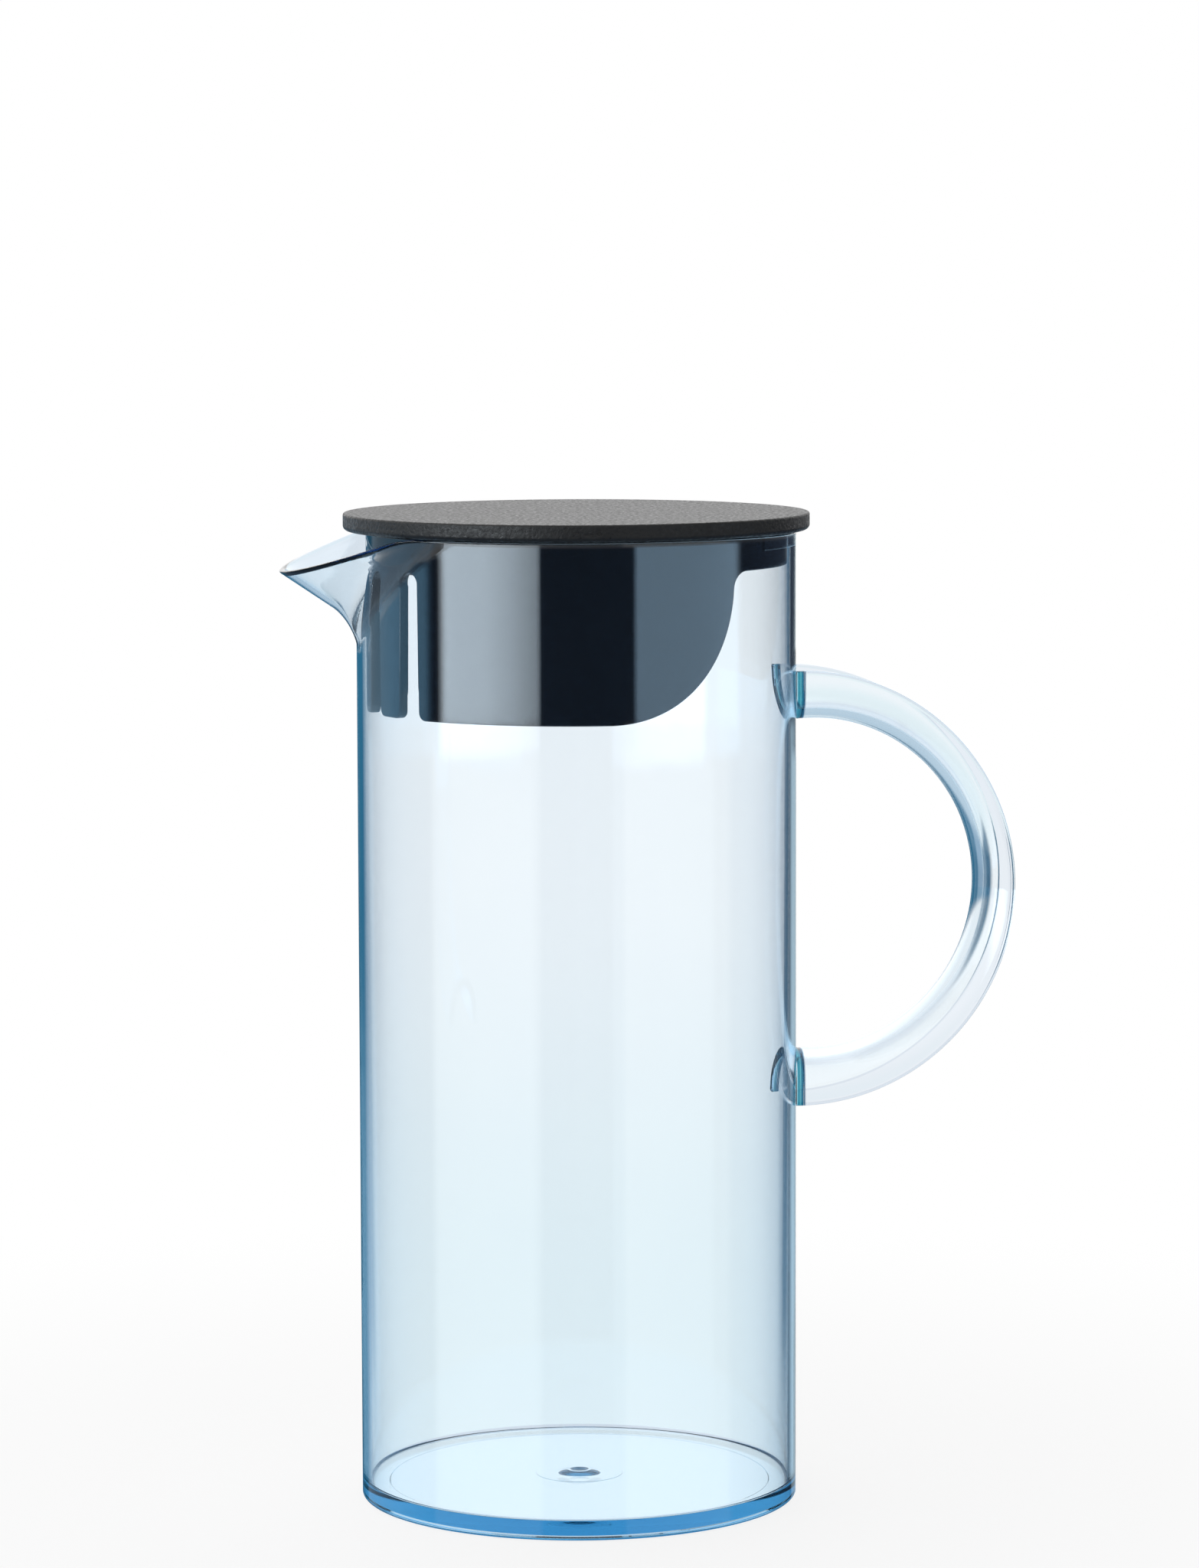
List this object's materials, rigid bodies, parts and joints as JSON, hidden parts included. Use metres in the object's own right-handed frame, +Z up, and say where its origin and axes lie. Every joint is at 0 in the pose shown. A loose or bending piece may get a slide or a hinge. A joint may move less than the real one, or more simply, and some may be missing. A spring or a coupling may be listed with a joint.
{
  "type": "water jug with strainer lid",
  "caption": "Clear straight-sided water jug with a moulded pouring spout, a ring handle of open channel section and a lift-off lid whose slotted skirt strains or frees the pour.",
  "frame": {"origin": "middle of the base's underside, on the barrel's axis", "axes": "+Z up along the barrel's axis, +X towards the handle, -X towards the spout"},
  "size_m": [0.1762, 0.1112, 0.2374],
  "materials": {
    "clear_plastic": "clear moulded plastic with a light blue tint, polished",
    "lid_plastic": "black, fine spark texture",
    "strainer_plastic": "black, polished"
  },
  "bodies": {
    "jug": {"jug_barrel": "clear_plastic", "handle": "clear_plastic"},
    "lid": {"lid_plate": "lid_plastic"},
    "strainer": {"strainer_ring": "strainer_plastic"}
  },
  "joints": [
    {"name": "lid_lift", "type": "slide", "parent": "jug", "child": "lid", "axis": [0, 0, 1], "range_m": [0, 0.06]},
    {"name": "strainer_turn", "type": "hinge", "parent": "lid", "child": "strainer", "pos_m": [0, 0, 0.233], "axis": [0, 0, 1], "continuous": true}
  ]
}
